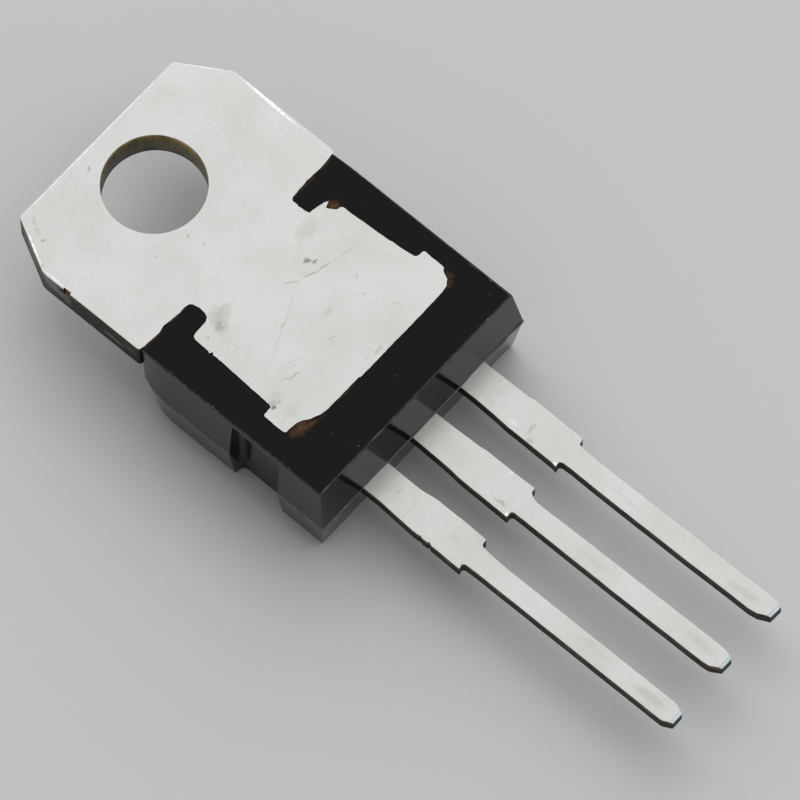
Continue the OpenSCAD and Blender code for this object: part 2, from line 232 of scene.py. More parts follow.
# Bright marks along the tab's edges and on the leads' shoulders: rubbed plating, and painted
# highlights where the edges and the burred corners catch the light.
RUBS_AND_HIGHLIGHTS = [
    (4.99, -0.9, 1.75, 0.08, 88, 1.0), (-4.55, 1.5, 0.9, 0.06, 62, 0.8),
    (-4.95, 0.2, 0.6, 0.06, 90, 0.5), (2.12, -14.72, 0.25, 0.12, 90, 0.3),
    (0.63, -15.89, 0.12, 0.08, 90, 0.25), (1.9, -16.82, 0.12, 0.09, 90, 1.0),
    (-0.64, -16.8, 0.12, 0.09, 90, 1.0), (0.0, 2.65, 5.5, 0.05, 0, 0.4),
    (4.5, 1.72, 1.5, 0.05, -58.5, 0.8),
]
# Stretches of punched wall that the tin covers well. The walls that face this way, to the right
# and to the back, take the plated tone too, and those that face the front and the left keep the
# dark tone as painted shade.
PLATED_WALLS = [(-4.5, 1.7, 1.2, 0.5, 62, 0.6), (-5.05, 0.3, 0.62, 0.4, 90, 0.7)]
UNSHADED_WALL_SIDE = (0.73, 0.68, 0)
# Painted highlights, in streaks along the tab's sides, with y and z for their places.
PAINTED_SIDE_HIGHLIGHTS = [
    (0.15, -0.5, 0.85, 0.3, 17, 1.0), (-2.6, -0.77, 0.6, 0.15, 4, 1.0),
    (-3.3, -0.55, 0.4, 0.2, 0, 0.3),
]
# Pale chips and grains in the moulding's back face.
CHIPS = [
    (-2.76, -11.9, 0.06, 0.04, 0, 0.2), (-2.94, -11.66, 0.04, 0.03, 0, 0.13),
    (-3.0, -10.9, 0.05, 0.04, 0, 0.15), (0.05, -11.1, 0.06, 0.04, 0, 0.12),
    (-4.97, -10.65, 0.05, 0.05, 0, 0.7), (-4.96, -7.16, 0.07, 0.03, 0, 0.5),
    (-4.95, -5.2, 0.12, 0.03, 90, 0.2), (4.93, -10.4, 0.3, 0.05, 90, 0.12),
    (4.95, -11.2, 0.14, 0.06, 80, 0.3), (4.94, -12.1, 0.16, 0.07, 70, 0.25),
    (4.95, -11.7, 0.5, 0.04, 90, 0.1), (4.95, -8.6, 1.2, 0.04, 90, 0.06),
    (4.5, -11.55, 0.05, 0.04, 0, 0.12), (-4.06, -10.92, 0.04, 0.03, 0, 0.12),
    (-2.45, -11.45, 0.04, 0.03, 0, 0.1), (3.13, -12.13, 0.08, 0.06, 0, 0.5),
]


def linear(code):
    """An sRGB hex colour such as "D6D6D2" as a linear colour with alpha."""
    parts = [int(code[i : i + 2], 16) / 255 for i in (0, 2, 4)]
    return tuple(((p + 0.055) / 1.055) ** 2.4 if p > 0.04045 else p / 12.92 for p in parts) + (1,)


def length(name, description, millimetres):
    """A length property, with its default given in millimetres."""
    return bpy.props.FloatProperty(
        name=name, description=description, default=millimetres * MM, min=0, unit="LENGTH",
        precision=5,
    )


def colour(name, description, code):
    """A colour property, with its default given as an sRGB hex code."""
    return bpy.props.FloatVectorProperty(
        name=name, description=description, default=linear(code), size=4, subtype="COLOR", min=0,
        max=1,
    )


def angle(name, description, degrees):
    """An angle property, with its default given in degrees."""
    return bpy.props.FloatProperty(
        name=name, description=description, default=math.radians(degrees), subtype="ANGLE"
    )


def power(name, description, watts):
    """A property for the power of a lamp."""
    return bpy.props.FloatProperty(
        name=name, description=description, default=watts, min=0, unit="POWER"
    )


class RegulatorMetal(bpy.types.PropertyGroup):
    """Sizes of the stamped lead frame."""

    tab_gauge: length("Tab gauge", "Thickness of the tab sheet", 1.27)
    lead_gauge: length("Lead gauge", "Thickness of the lead sheet", 0.55)
    hole_width: length("Hole", "Diameter of the mounting hole", 3.78)
    hole_relief: length("Hole relief", "Bevel at both rims of the mounting hole", 0.008)
    lip_depth: length("Lip depth", "Depth of the coined lip below the back face", 0.62)
    groove_depth: length("Groove depth", "Depth of the lock groove across the neck", 0.3)
    edge_round: length("Edge round", "Rounding that the punch leaves along the edges", 0.01)
    tip_round: length("Tip round", "Rounding at the cut end of each lead", 0.1)
    ragged: length("Ragged edge", "How far the edge at the resin wanders", 0.022)
    strip_width: length("Strip", "Width of the strip that carries the centre lead", 2.1)
    post_width: length("Bond post", "Width of the bond post of each outer lead", 2.25)
    lead_run: length("Leaning run", "Length of each lead's end that leans up to its tip", 8.6)


class RegulatorMoulding(bpy.types.PropertyGroup):
    """Sizes of the epoxy body."""

    side_draft: length("Side draft", "Outward draft of each side at the parting line", 0.25)
    end_draft: length("End draft", "Outward draft of the lead end at the parting line", 0.29)
    tab_draft: length("Tab wall draft", "Inward draft of the wall under the tab", 0.22)
    parting_depth: length("Parting line", "Depth of the parting line below the back face", 2.2)
    cheek_length: length("Cheek length", "Length of the rounded cheeks beside the tab", 1.35)
    cheek_depth: length("Cheek depth", "Depth of the rounded cheeks beside the tab", 0.33)
    front_bevel: length("Front bevel", "Bevel round the front face", 0.1)
    edge_round: length("Edge round", "Rounding of the mould's edges", 0.05)
    flash: length("Flash", "How far the parting line stands proud", 0.03)
    burr: length("Burr", "How far the flash stands out at the lead end's right corner", 0.035)
    sink: length("Sink", "How far the resin lies below the metal's back face", 0.012)
    notch_length: length("Notch length", "Length of each side notch", 2.2)
    notch_depth: length("Notch depth", "Depth of each side notch", 0.4)
    notch_web: length("Notch web", "Web that closes each notch at the back face", 0.22)
    notch_place: length("Notch place", "Distance from the lead end to the notches' middle", 2.94)
    ejector_width: length("Ejector mark", "Diameter of the ejector mark on the front face", 1.8)
    ejector_depth: length("Ejector depth", "Depth of the ejector mark", 0.06)


class RegulatorFinish(bpy.types.PropertyGroup):
    """Colours of the surfaces."""

    tin: colour("Tin", "Matte tin plating", "C5C5C2")
    tin_shade: colour("Tin shade", "The plating's duller clouds", "BEBEBA")
    tin_mark: colour("Tin marks", "Smudges and scratches in the plating", "6B6858")
    # A bluish tone for the rubbed plating and for the painted highlights along the edges.
    tin_rub_and_highlight: colour("Tin rubs", "Plating rubbed bright", "F0F3F6")
    resin: colour("Resin", "Black epoxy with a matte back face", "1A1A1A")
    resin_polish: colour("Polished resin", "Black epoxy from the polished mould", "0C0C0D")
    resin_wear: colour("Resin wear", "Scuffed edges, flash and grains of filler", "A8A8A4")
    resin_film: colour("Resin film", "Epoxy so thin that it turns brown", "6B4A2F")
    floor: colour("Floor", "Plain pale floor", "E2E2E0")


class RegulatorStage(bpy.types.PropertyGroup):
    """The camera, the lamps and the floor."""

    azimuth: angle("Azimuth", "Turn of the camera round the part", -47.13)
    elevation: angle("Elevation", "Height of the camera above the horizon", 66.35)
    roll: angle("Roll", "Turn of the camera about its own axis", -1.65)
    distance: length("Distance", "From the camera to its target", 386.1)
    target: bpy.props.FloatVectorProperty(
        name="Target", description="Point that the camera looks at",
        default=(-0.53 * MM, -11.84 * MM, 0), size=3, subtype="TRANSLATION", unit="LENGTH",
    )
    lens: bpy.props.FloatProperty(
        name="Lens", description="Focal length on a sensor 36 mm wide", default=504.6,
        unit="CAMERA",
    )
    key_power: power("Key", "Power of the overhead softbox", 1.13)
    back_power: power("Back", "Power of the lamp behind the tab", 3.0)
    front_power: power("Front", "Power of the low lamp beyond the leads' tips", 0.36)
    lamp_distance: length("Lamp distance", "From the part to each lamp", 600)
    room_light: bpy.props.FloatProperty(
        name="Room", description="Strength of the even light of the room", default=0.3, min=0
    )
    floor_size: length("Floor", "Width of the floor", 3000)


SETTINGS = {
    "regulator_metal": RegulatorMetal,
    "regulator_moulding": RegulatorMoulding,
    "regulator_finish": RegulatorFinish,
    "regulator_stage": RegulatorStage,
}


def in_millimetres(group):
    """A property group's lengths as plain numbers in millimetres."""
    return SimpleNamespace(**{key: getattr(group, key) / MM for key in group.__annotations__})


def box_mm(node):
    """A CAD node's lowest and highest corners in millimetres."""
    return tuple(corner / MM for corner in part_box(node))


# Shapes


def slice_across(bm, place, normal, parts=None):
    """Cuts edges into a mesh, or into some of its parts, where a plane passes through it."""
    parts = parts or bm.verts[:] + bm.edges[:] + bm.faces[:]
    bmesh.ops.bisect_plane(bm, geom=parts, plane_co=place, plane_no=normal)


def flat_outline(points, cuts=PAD_CUTS, ragged=0):
    """A face on z = 0 through the points. A ragged edge is cut fine where it meets the resin."""
    noise.seed_set(WANDER_SEED)
    bm = bmesh.new()
    corners = [bm.verts.new((x, y, 0)) for x, y in points]
    for start, end in zip(corners, corners[1:] + corners[:1]):
        bm.edges.new((start, end))
    if ragged:
        for edge in bm.edges[:]:
            count = int(edge.calc_length() / cuts)
            if count and all(v.co.y < RAGGED_BELOW for v in edge.verts):
                bmesh.ops.subdivide_edges(bm, edges=[edge], cuts=count)
        for vert in bm.verts:
            if vert.co.y < RAGGED_BELOW:
                fine = noise.noise_vector(vert.co * FINE_WANDER)
                broad = noise.noise_vector(vert.co * BROAD_WANDER) * BROAD_SHARE
                vert.co.xy += (fine + broad).xy * ragged
    faces = bmesh.ops.edgeloop_fill(bm, edges=bm.edges[:])["faces"]
    bm.normal_update()
    if faces[0].normal.z < 0:
        bmesh.ops.reverse_faces(bm, faces=faces)
    return bm


def along(line, y):
    """The height of a line of (y, z) points at y. The line runs towards -Y and goes on level."""
    if y >= line[0][0]:
        return line[0][1]
    for (y0, z0), (y1, z1) in zip(line, line[1:]):
        if y >= y1:
            return z0 + (z1 - z0) * (y - y0) / (y1 - y0)
    return line[-1][1]


def bent_sheet(bm, back, front):
    """Gives a flat face its gauge and its bends, from the lines of its back and front faces."""
    lower = bmesh.ops.extrude_face_region(bm, geom=bm.faces[:])["geom"]
    deep = [v for v in lower if isinstance(v, bmesh.types.BMVert)]
    bmesh.ops.translate(bm, vec=-UP, verts=deep)
    bmesh.ops.recalc_face_normals(bm, faces=bm.faces[:])
    for y, _ in back[1:-1] + front[1:-1]:
        slice_across(bm, (0, y, 0), (0, 1, 0))
    # The two faces are still at 0 and -1.
    for vert in bm.verts:
        vert.co.z = along(back if vert.co.z > -0.5 else front, vert.co.y)
    return bm


def level_sheet(bm, top, bottom):
    """Gives a flat face its thickness between two levels."""
    return bent_sheet(bm, [(0, top), (-1, top)], [(0, bottom), (-1, bottom)])


def is_level(edge):
    """Whether an edge runs level."""
    return abs(edge.verts[0].co.z - edge.verts[1].co.z) < CLOSE


def round_edges(bm, offset, wanted=lambda edge: True, segments=2, least=40):
    """Bevels the wanted edges that turn by at least that many degrees."""
    bmesh.ops.dissolve_degenerate(bm, dist=5 * CLOSE, edges=bm.edges[:])
    edges = [
        e for e in bm.edges
        if len(e.link_faces) == 2 and e.calc_face_angle(0) > math.radians(least) and wanted(e)
    ]
    bmesh.ops.bevel(
        bm, geom=edges, offset=offset, offset_type="OFFSET", segments=segments, profile=0.5,
        affect="EDGES", clamp_overlap=False, material=-1,
    )


def as_object(bm, name, materials=()):
    """An object in the scene from a bmesh, which is freed."""
    mesh = bpy.data.meshes.new(name)
    bm.to_mesh(mesh)
    bm.free()
    for material in materials:
        mesh.materials.append(material)
    obj = bpy.data.objects.new(name, mesh)
    bpy.context.scene.collection.objects.link(obj)
    return obj


def combine(base, other, operation):
    """The union or difference of two closed bmeshes as a new closed one. Both are freed.

    Their points are snapped to a fine grid, so that faces meant to touch lie exactly together.
    """
    for bm in (base, other):
        for vert in bm.verts:
            vert.co = [round(part, GRID_PLACES) for part in vert.co]
    pair = [as_object(base, "temporary"), as_object(other, "temporary")]
    cut = pair[0].modifiers.new("Cut", "BOOLEAN")
    cut.operation = operation
    cut.solver = "MANIFOLD"
    cut.object = pair[1]
    result = bmesh.new()
    result.from_object(pair[0], bpy.context.evaluated_depsgraph_get())
    for obj in pair:
        mesh = obj.data
        bpy.data.objects.remove(obj)
        bpy.data.meshes.remove(mesh)
    bmesh.ops.dissolve_degenerate(result, dist=CLOSE / 10, edges=result.edges[:])
    if not result.faces:
        raise RuntimeError("a cut left nothing of a piece")
    return result


def drum(radius, low, high, at=(0, 0), segments=96):
    """A closed cylinder along Z between two levels."""
    bm = bmesh.new()
    bmesh.ops.create_cone(
        bm, cap_ends=True, segments=segments, radius1=radius, radius2=radius, depth=high - low,
        matrix=Matrix.Translation((*at, (low + high) / 2)),
    )
    return bm


def block(low, high):
    """A closed box between two corners."""
    low, high = Vector(low), Vector(high)
    bm = bmesh.new()
    place = Matrix.Translation((low + high) / 2) @ Matrix.Diagonal((*(high - low), 1))
    bmesh.ops.create_cube(bm, size=1, matrix=place)
    return bm


def merged_copy(node):
    """A CAD node's shape as a closed bmesh in millimetres, its loose triangles joined."""
    bm = bmesh.new()
    bm.from_mesh(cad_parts[node].data)
    bmesh.ops.scale(bm, vec=(1 / MM,) * 3, verts=bm.verts)
    bmesh.ops.remove_doubles(bm, verts=bm.verts, dist=CLOSE / 2)
    return bm


def finish_piece(bm, name, materials, pick, smooth=lambda face: False):
    """Makes a piece of the object from a bmesh in millimetres: pick gives each face's material."""
    bmesh.ops.scale(bm, vec=(MM,) * 3, verts=bm.verts)
    for face in bm.faces:
        face.smooth = smooth(face)
        face.material_index = pick(face)
    obj = as_object(bm, name, materials)
    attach(obj, "root")
    return obj


# Materials


def add_node(tree, kind, values=None, give=None, **settings):
    """Adds a node with its settings and links, and returns one of its outputs.

    values gives its inputs by name or number, each a value or a socket. give names the output,
    which is otherwise the first that the settings leave in use.
    """
    node = tree.nodes.new("ShaderNode" + kind)
    for key, value in settings.items():
        setattr(node, key, value)
    for key, value in (values or {}).items():
        if isinstance(value, bpy.types.NodeSocket):
            tree.links.new(value, node.inputs[key])
        else:
            node.inputs[key].default_value = value
    return node.outputs[give] if give else next((out for out in node.outputs if out.enabled), None)


def new_material(name):
    """An empty material, the function that adds a node to it, and its object coordinates."""
    material = bpy.data.materials.new(name)
    material.use_nodes = True
    material.node_tree.nodes.clear()
    add = partial(add_node, material.node_tree)
    return material, add, add("TexCoord", give="Object")


def finish_surface(add, values, relief=None, strength=0.0, depth_mm=0.0):
    """Ends a material with its shader's values, and with a relief of that depth as its bump."""
    if relief is not None:
        bump = {"Height": relief, "Strength": strength, "Distance": depth_mm * MM}
        values = values | {"Normal": add("Bump", bump)}
    add("OutputMaterial", {"Surface": add("BsdfPrincipled", values)})


def patch_mask(add, place, patches, edge=0.0):
    """The strongest of several oval patches, each (x, y, long, wide, turn, strength).

    A patch fades out from edge, a share of its reach, to its rim.
    """
    mask = None
    for x, y, long, wide, turn, strength in patches:
        local = add(
            "Mapping",
            {"Vector": place, "Location": (x * MM, y * MM, 0),
             "Rotation": (0, 0, math.radians(turn)), "Scale": (long * MM, wide * MM, 1)},
            vector_type="TEXTURE",
        )
        away = add("VectorMath", {0: local}, operation="LENGTH")
        fade = add(
            "MapRange",
            {"Value": away, "From Min": edge, "From Max": 1.0, "To Min": strength, "To Max": 0.0},
            interpolation_type="SMOOTHSTEP",
        )
        mask = fade if mask is None else add("Math", {0: mask, 1: fade}, operation="MAXIMUM")
    return mask


def unsteady(add, place, size, reach):
    """Coordinates that wander over the size and reach in millimetres, to break up drawn marks."""
    push = add(
        "TexNoise", {"Vector": place, "Scale": 1 / (size * MM), "Detail": 2.0}, give="Color"
    )
    centred = add("VectorMath", {0: push, 1: (0.5, 0.5, 0.5)}, operation="SUBTRACT")
    return add(
        "VectorMath", {0: centred, 1: (reach * MM,) * 3, 2: place}, operation="MULTIPLY_ADD"
    )


def shaded(add, tone, pattern, low, high, dark, light):
    """A tone times dark where a pattern is low, and times light where it is high."""
    shade = add(
        "MapRange",
        {"Value": pattern, "From Min": low, "From Max": high, "To Min": dark, "To Max": light},
    )
    return add(
        "Mix", {"Factor": 1.0, "A": tone, "B": shade}, data_type="RGBA", blend_type="MULTIPLY"
    )


def blended(add, pattern, low, high, least, most, tone, other):
    """A tone with the least of another where a pattern is low, and the most where it is high."""
    share = add(
        "MapRange",
        {"Value": pattern, "From Min": low, "From Max": high, "To Min": least, "To Max": most},
    )
    return add("Mix", {"Factor": share, "A": tone, "B": other}, data_type="RGBA")


def broken_up(add, marks, pattern, low, high, least, most):
    """Marks at their least share where a pattern is low, and at their most where it is high."""
    share = add(
        "MapRange",
        {"Value": pattern, "From Min": low, "From Max": high, "To Min": least, "To Max": most},
    )
    return add("Math", {0: marks, 1: share}, operation="MULTIPLY")


def matte_tin(finish):
    """Matte electroplated tin on a rolled copper sheet: soft satin, cloudy, easily scratched."""
    material, add, place = new_material(TIN_FACE)
    # Crystal grain is finer than shows, so it is drawn at about 0.15 mm.
    grain = add(
        "TexNoise", {"Vector": place, "Scale": 1 / (0.15 * MM), "Detail": 3.0, "Roughness": 0.6}
    )
    clouds = add(
        "TexNoise", {"Vector": place, "Scale": 1 / (2.6 * MM), "Detail": 4.0, "Roughness": 0.55}
    )
    # Rolling lines of the sheet run across the tab, 0.12 mm apart and several millimetres long.
    rolled = add(
        "Mapping", {"Vector": place, "Scale": (4.0 * MM, 0.12 * MM, MM)}, vector_type="TEXTURE"
    )
    lines = add("TexNoise", {"Vector": rolled, "Scale": 1.0, "Detail": 2.0})
    # A washer has turned on the tab and left faint rings about 0.28 mm apart round the hole. They
    # fade from 3.2 to 4.6 mm from its middle. At a scale of 1 the rings are tau / 20 apart.
    rings = add(
        "TexWave",
        {"Vector": place, "Scale": math.tau / 20 / (0.28 * MM), "Distortion": 1.2, "Detail": 2.0,
         "Detail Scale": 0.4},
        give="Fac", wave_type="RINGS", rings_direction="Z",
    )
    from_hole = add("VectorMath", {0: place}, operation="LENGTH")
    worn = broken_up(add, rings, from_hole, 3.2 * MM, 4.6 * MM, 0.1, 0.0)
    tone = blended(add, clouds, 0.4, 0.66, 0.0, 1.0, finish.tin, finish.tin_shade)
    lined = add("Math", {0: lines, 1: 0.4, 2: grain}, operation="MULTIPLY_ADD")
    uneven = add("Math", {0: lined, 1: worn}, operation="SUBTRACT")
    tone = shaded(add, tone, uneven, 0.35, 1.05, 0.94, 1.04)
    # Rubbed plating, and painted highlights along the edges and on the shoulders.
    rub = broken_up(add, patch_mask(add, place, RUBS_AND_HIGHLIGHTS, edge=0.3), grain, 0.36, 0.56, 0.3, 1.0)
    tone = add("Mix", {"Factor": rub, "A": tone, "B": finish.tin_rub_and_highlight}, data_type="RGBA")
    smudge = patch_mask(add, unsteady(add, place, 0.22, 0.3), SMUDGES, edge=0.3)
    smudge = broken_up(add, smudge, grain, 0.3, 0.6, 0.45, 1.0)
    scratch = patch_mask(add, unsteady(add, place, 0.6, 0.14), SCRATCHES, edge=0.35)
    marks = add("Math", {0: smudge, 1: scratch}, operation="MAXIMUM")
    tone = add("Mix", {"Factor": marks, "A": tone, "B": finish.tin_mark}, data_type="RGBA")
    gloss = add(
        "MapRange",
        {"Value": uneven, "From Min": 0.35, "From Max": 1.05, "To Min": 0.38, "To Max": 0.29},
    )
    # The marks stay out of the relief, because a bump that reads so many nodes renders black.
    finish_surface(
        add, {"Base Color": tone, "Metallic": 1.0, "Roughness": gloss}, lined, 0.25, 0.01
    )
    return material


# Tones of the punched walls, each at its depth in millimetres below the rim. The punch leaves a
# rubbed band at the rim of a wall, and the sheet tears below it. Below the band the bare and the
# plated walls turn dark with depth, which is painted shade.
BARE_WALL_AND_SHADE = [(0.0, "8A744C"), (0.1, "4C4232"), (0.25, "2C2926"), (0.7, "262422"), (1.0, "201E1C")]
PLATED_WALL = [
    (0.0, "B4B8BC"), (0.25, "8E8F90"), (0.6, "868684"), (0.85, "6E6C6A"), (1.15, "3A3734"),
]
# The hole's wall stays pale brown at the rim and turns duller and darker towards the bottom.
HOLE_WALL = [
    (0.0, "F4E0B0"), (0.08, "DCC694"), (0.17, "B49C70"), (0.27, "9C8660"), (0.42, "867852"),
    (0.6, "78725C"), (1.05, "6E6859"), (1.2, "48403A"),
]
# Brown copper laid bare by the chip in the tab's edge, with dull plating below it, turning dark at
# the bottom as painted shade.
CHIPPED_WALL = [
    (0.0, "78563C"), (0.3, "6A4A32"), (0.5, "767472"), (0.75, "6A6866"), (1.1, "262422"),
]


def tone_by_depth(add, depth, tones):
    """A colour by depth below the rim, blended between tones."""
    deepest = tones[-1][0]
    share = add("MapRange", {"Value": depth, "From Min": 0.0, "From Max": deepest * MM})
    ramp = add("ValToRGB", {"Fac": share})
    stops = ramp.node.color_ramp.elements
    stops.remove(stops[1])
    for index, (at, code) in enumerate(tones):
        stop = stops.new(at / deepest) if index else stops[0]
        stop.position = at / deepest
        stop.color = linear(code)
    return ramp


def punched_wall(name, depth_of, tone_of):
    """Punched copper wall, partly plated and bare in places: streaked through the sheet."""
    material, add, place = new_material(name)
    # The punch leaves streaks through the sheet about 0.08 mm apart.
    stretched = add(
        "Mapping", {"Vector": place, "Scale": (0.08 * MM, 0.08 * MM, 0.9 * MM)},
        vector_type="TEXTURE",
    )
    streaks = add("TexNoise", {"Vector": stretched, "Scale": 1.0, "Detail": 3.0})
    blotches = add("TexNoise", {"Vector": place, "Scale": 1 / (0.7 * MM), "Detail": 3.0})
    uneven = add("Math", {0: blotches, 1: 0.5}, operation="SUBTRACT")
    depth = add(
        "Math", {0: uneven, 1: 0.7 * MM, 2: depth_of(add, place)}, operation="MULTIPLY_ADD"
    )
    tone = shaded(add, tone_of(add, place, depth), streaks, 0.3, 0.7, 0.7, 1.2)
    finish_surface(
        add, {"Base Color": tone, "Metallic": 1.0, "Roughness": 0.5}, streaks, 0.5, 0.02
    )
    return material


def punched_edge(metal):
    """The punched outline of the tab and the leads: tin in places, and painted shade on the walls.
    """
    _, (step_y, root_back), (tip_y, tip_back) = lead_lines(metal)[0]

    def depth_of(add, place):
        # The tab's rim is at nought, and the leads' rim follows their lean.
        axes = add("SeparateXYZ", {"Vector": place}).node.outputs
        rim_of_lead = add(
            "MapRange",
            {"Value": axes["Y"], "From Min": tip_y * MM, "From Max": step_y * MM,
             "To Min": tip_back * MM, "To Max": root_back * MM},
        )
        on_lead = add("Math", {0: axes["Y"], 1: LEADS_BELOW * MM}, operation="LESS_THAN")
        rim = add("Math", {0: rim_of_lead, 1: on_lead}, operation="MULTIPLY")
        return add("Math", {0: rim, 1: axes["Z"]}, operation="SUBTRACT")

    def tone_of(add, place, depth):
        axes = add("SeparateXYZ", {"Vector": place}).node.outputs
        side_on = add("CombineXYZ", {"X": axes["Y"], "Y": axes["Z"]})
        # Painted highlights along the tab's sides, in the plated tone.
        streaks = patch_mask(add, unsteady(add, side_on, 0.5, 0.14), PAINTED_SIDE_HIGHLIGHTS, edge=0.35)
        plated_and_painted_light = patch_mask(add, unsteady(add, place, 0.5, 0.4), PLATED_WALLS)
        # Walls that face the front and the left keep the dark bare tone as painted shade.
        facing = add(
            "VectorMath", {0: add("TexCoord", give="Normal"), 1: UNSHADED_WALL_SIDE},
            operation="DOT_PRODUCT",
        )
        unshaded_share = add(
            "MapRange",
            {"Value": facing, "From Min": 0.0, "From Max": 0.3, "To Min": 0.0, "To Max": 0.95},
        )
        for more in (streaks, unshaded_share):
            plated_and_painted_light = add("Math", {0: plated_and_painted_light, 1: more}, operation="MAXIMUM")
        low, high = CHIP_AT_BACK
        chip = (LEFT_EDGE, (low + high) / 2, 0.8 * (high - low), 2 * CHIP_WIDTH, 90, 1.0)
        chipped = patch_mask(add, unsteady(add, place, 0.4, 0.25), [chip], edge=0.1)
        # Tones by depth below the rim, which darken towards the front face as painted shade.
        bare, plated, opened = (
            tone_by_depth(add, depth, tones) for tones in (BARE_WALL_AND_SHADE, PLATED_WALL, CHIPPED_WALL)
        )
        # The plated tone where the tin covers the wall, and as painted light on the side
        # highlights and on the walls clear of painted shade.
        whole = add("Mix", {"Factor": plated_and_painted_light, "A": bare, "B": plated}, data_type="RGBA")
        return add("Mix", {"Factor": chipped, "A": whole, "B": opened}, data_type="RGBA")

    return punched_wall(PUNCHED_EDGE, depth_of, tone_of)


def hole_wall():
    """The wall of the mounting hole: pale brown copper at the rim, and duller below."""

    def depth_of(add, place):
        height = add("SeparateXYZ", {"Vector": place}, give="Z")
        return add("Math", {0: height, 1: -1.0}, operation="MULTIPLY")

    return punched_wall(
        PUNCHED_HOLE, depth_of, lambda add, place, depth: tone_by_depth(add, depth, HOLE_WALL)
    )


def ground_epoxy(finish):
    """Black filled epoxy with a matte mould face: nearly black, fine grain, brown where thin."""
    material, add, place = new_material("black_filled_epoxy_matte_mould_face")
    # The mould's eroded texture has a grain of about 0.07 mm.
    grain = add(
        "TexNoise", {"Vector": place, "Scale": 1 / (0.07 * MM), "Detail": 3.0, "Roughness": 0.65}
    )
    # A grain of the filler shows as a pale speck in a few of the cells, which are 0.9 mm wide.
    from_grain = add("TexVoronoi", {"Vector": place, "Scale": 1 / (0.9 * MM)})
    picked = add("Math", {0: from_grain.node.outputs["Color"], 1: 0.86}, operation="GREATER_THAN")
    filler = broken_up(add, picked, from_grain, 0.015, 0.045, 0.1, 0.0)
    chips = patch_mask(add, place, CHIPS, edge=0.3)
    pale = add("Math", {0: filler, 1: chips}, operation="MAXIMUM")
    uneven = add("TexNoise", {"Vector": place, "Scale": 1 / (0.4 * MM), "Detail": 3.0})
    glow = broken_up(add, patch_mask(add, place, GLOWS), uneven, 0.38, 0.58, 0.35, 1.0)
    tone = add(
        "Mix", {"Factor": glow, "A": finish.resin, "B": finish.resin_film}, data_type="RGBA"
    )
    tone = add("Mix", {"Factor": pale, "A": tone, "B": finish.resin_wear}, data_type="RGBA")
    tone = shaded(add, tone, grain, 0.3, 0.7, 0.8, 1.2)
    finish_surface(
        add, {"Base Color": tone, "Roughness": 0.7, "Specular IOR Level": 0.1, "IOR": 1.5},
        grain, 0.35, 0.02,
    )
    return material


def polished_epoxy(finish):
    """Black filled epoxy from a polished mould: a dark mirror with faint flow ripples."""
    material, add, place = new_material("black_filled_epoxy_polished_mould_face")
    ripple = add("TexNoise", {"Vector": place, "Scale": 1 / (1.4 * MM), "Detail": 2.0})
    dust = add("TexNoise", {"Vector": place, "Scale": 1 / (0.1 * MM), "Detail": 2.0})
    # A few specks of dust stand out on the polish.
    tone = blended(add, dust, 0.72, 0.78, 0.0, 0.25, finish.resin_polish, finish.resin_wear)
    gloss = add(
        "MapRange",
        {"Value": dust, "From Min": 0.3, "From Max": 0.7, "To Min": 0.1, "To Max": 0.16},
    )
    finish_surface(
        add, {"Base Color": tone, "Roughness": gloss, "Specular IOR Level": 0.5, "IOR": 1.5},
        ripple, 0.1, 0.01,
    )
    return material


def scuffed_epoxy(finish, name, least, most):
    """The moulding's edges and its flash: the resin skin scuffed to a broken grey line."""
    material, add, place = new_material(name)
    breaks = add(
        "TexNoise", {"Vector": place, "Scale": 1 / (0.35 * MM), "Detail": 4.0, "Roughness": 0.7}
    )
    tone = blended(add, breaks, 0.48, 0.72, least, most, finish.resin, finish.resin_wear)
    finish_surface(
        add, {"Base Color": tone, "Roughness": 0.5, "Specular IOR Level": 0.3, "IOR": 1.5},
        breaks, 0.4, 0.02,
    )
    return material


def plain_metal(name, code, roughness, lines_mm):
    """A hidden metal part's finish: one tone, broken by fine lines or grain of that size."""
    material, add, place = new_material(name)
    grain = add("TexNoise", {"Vector": place, "Scale": 1 / (lines_mm * MM), "Detail": 3.0})
    tone = shaded(add, linear(code), grain, 0.3, 0.7, 0.85, 1.1)
    finish_surface(
        add, {"Base Color": tone, "Metallic": 1.0, "Roughness": roughness}, grain, 0.3, 0.01
    )
    return material


def silicon():
    """Diffused silicon under its glassy oxide: dark blue-grey and smooth."""
    material, add, place = new_material("silicon_die_with_oxide")
    cells = add("TexVoronoi", {"Vector": place, "Scale": 1 / (0.18 * MM)}, distance="CHEBYCHEV")
    tone = add(
        "Mix", {"Factor": cells, "A": linear("3E4658"), "B": linear("59637A")}, data_type="RGBA"
    )
    finish_surface(add, {"Base Color": tone, "Roughness": 0.15, "IOR": 1.5, "Coat Weight": 0.4})
    return material


def pale_floor(finish):
    """Plain matt board: an even, pale tone with no gloss to speak of."""
    material, add, _ = new_material("plain_matt_board")
    finish_surface(
        add, {"Base Color": finish.floor, "Roughness": 0.9, "Specular IOR Level": 0.1}
    )
    return material


def metal_materials(finish, metal):
    """The plated face, the punched edge and the hole's wall, made once for the lead frame."""
    made = bpy.data.materials
    if TIN_FACE not in made:
        matte_tin(finish)
        punched_edge(metal)
        hole_wall()
    return [made[name] for name in (TIN_FACE, PUNCHED_EDGE, PUNCHED_HOLE)]


# Pieces


def metal_face(metal):
    """A chooser of the metal's material: 0 plated face or rim, 1 punched edge, 2 hole."""
    bore = (metal.hole_width / 2 + HOLE_RIM) * MM

    def pick(face):
        # A face that leans more than about 63 degrees from level is a punched wall.
        if abs(face.normal.z) > 0.45:
            return 0
        return 2 if all(v.co.xy.length < bore for v in face.verts) else 1

    return pick


